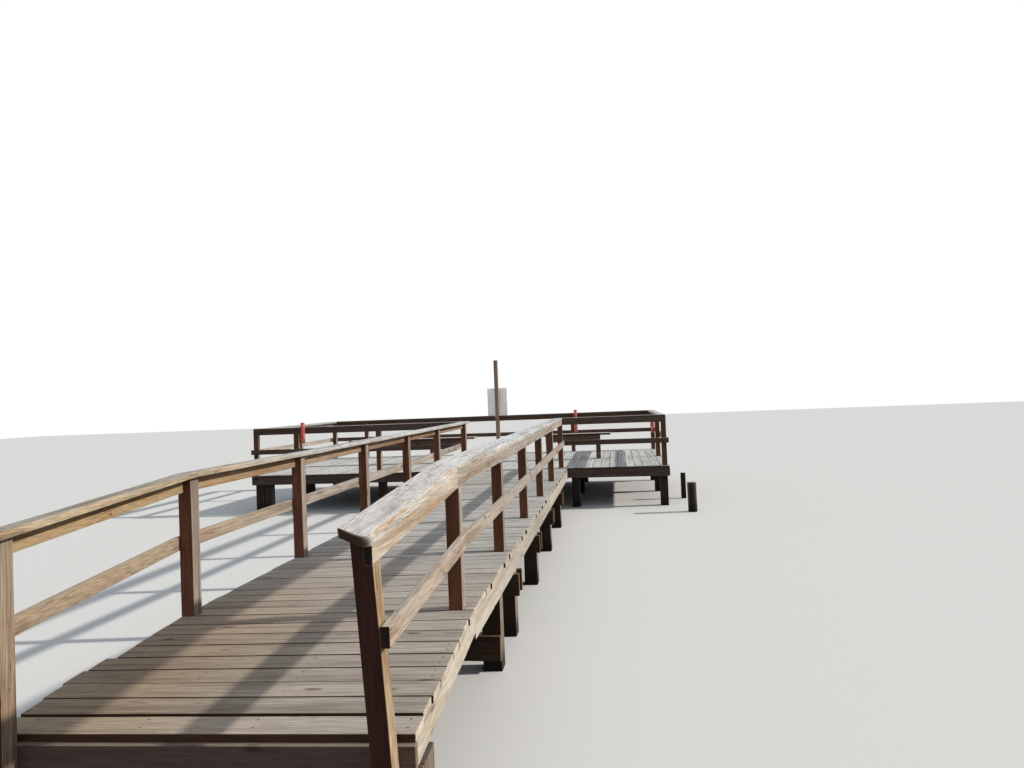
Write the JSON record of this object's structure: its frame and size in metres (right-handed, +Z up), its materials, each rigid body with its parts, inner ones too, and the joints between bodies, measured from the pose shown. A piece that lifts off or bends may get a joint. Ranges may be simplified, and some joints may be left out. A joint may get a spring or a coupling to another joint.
{
  "type": "wooden jetty",
  "caption": "Weathered timber jetty: sloping shore bay, level walkway between railings, and a wide railed platform with benches, on square piles.",
  "frame": {"origin": "middle of the jetty's box in plan, at the waterline where the piles end", "axes": "+Y along the walkway away from the shore, +X to the right seen from the shore, +Z up"},
  "size_m": [8.32, 14.278, 2.96],
  "materials": {
    "deck_wood": "weathered grey-beige boards",
    "rim_wood": "dark brown edge boards",
    "fascia_wood": "pale cream sawn edge board",
    "frame_wood": "brown treated joists and beams",
    "pile_wood": "dark weathered piles",
    "post_wood": "red-brown weathered posts",
    "cap_wood": "silver-grey cracked top boards with tan edges",
    "rail_wood": "tan to brown rail boards",
    "sign_sheet": "plain pale grey sheet",
    "red_plastic": "faded red tubes"
  },
  "bodies": {
    "root": {"ramp_deck": "deck_wood", "walk_deck": "deck_wood", "platform_deck": "deck_wood", "front_rim": "rim_wood", "ramp_fascia": "fascia_wood", "walk_fascia": "fascia_wood", "ramp_joists": "frame_wood", "walk_joists": "frame_wood", "walk_cross_beams": "frame_wood", "walk_piles": "pile_wood", "near_posts": "post_wood", "right_posts": "post_wood", "left_posts": "post_wood", "ramp_caps": "cap_wood", "right_cap": "cap_wood", "left_cap": "cap_wood", "ramp_top_rails": "rail_wood", "right_top_rail": "rail_wood", "left_top_rail": "rail_wood", "ramp_mid_rails": "rail_wood", "right_mid_rail": "rail_wood", "left_mid_rail": "rail_wood", "platform_front_rims": "rim_wood", "platform_side_rims": "rim_wood", "platform_back_rim": "rim_wood", "platform_joists": "frame_wood", "platform_cross_beams": "frame_wood", "platform_piles": "pile_wood", "platform_posts": "post_wood", "sign_post": "post_wood", "sign_panel": "sign_sheet", "platform_front_caps": "cap_wood", "platform_side_caps": "cap_wood", "platform_back_caps": "cap_wood", "platform_front_top_rails": "rail_wood", "platform_side_top_rails": "rail_wood", "platform_back_top_rail": "rail_wood", "platform_front_mid_rails": "rail_wood", "platform_side_mid_rails": "rail_wood", "platform_back_mid_rail": "rail_wood", "bench_seats": "deck_wood", "bench_frames": "rim_wood", "tube_holders": "red_plastic", "cut_off_piles": "pile_wood"}
  },
  "joints": []
}
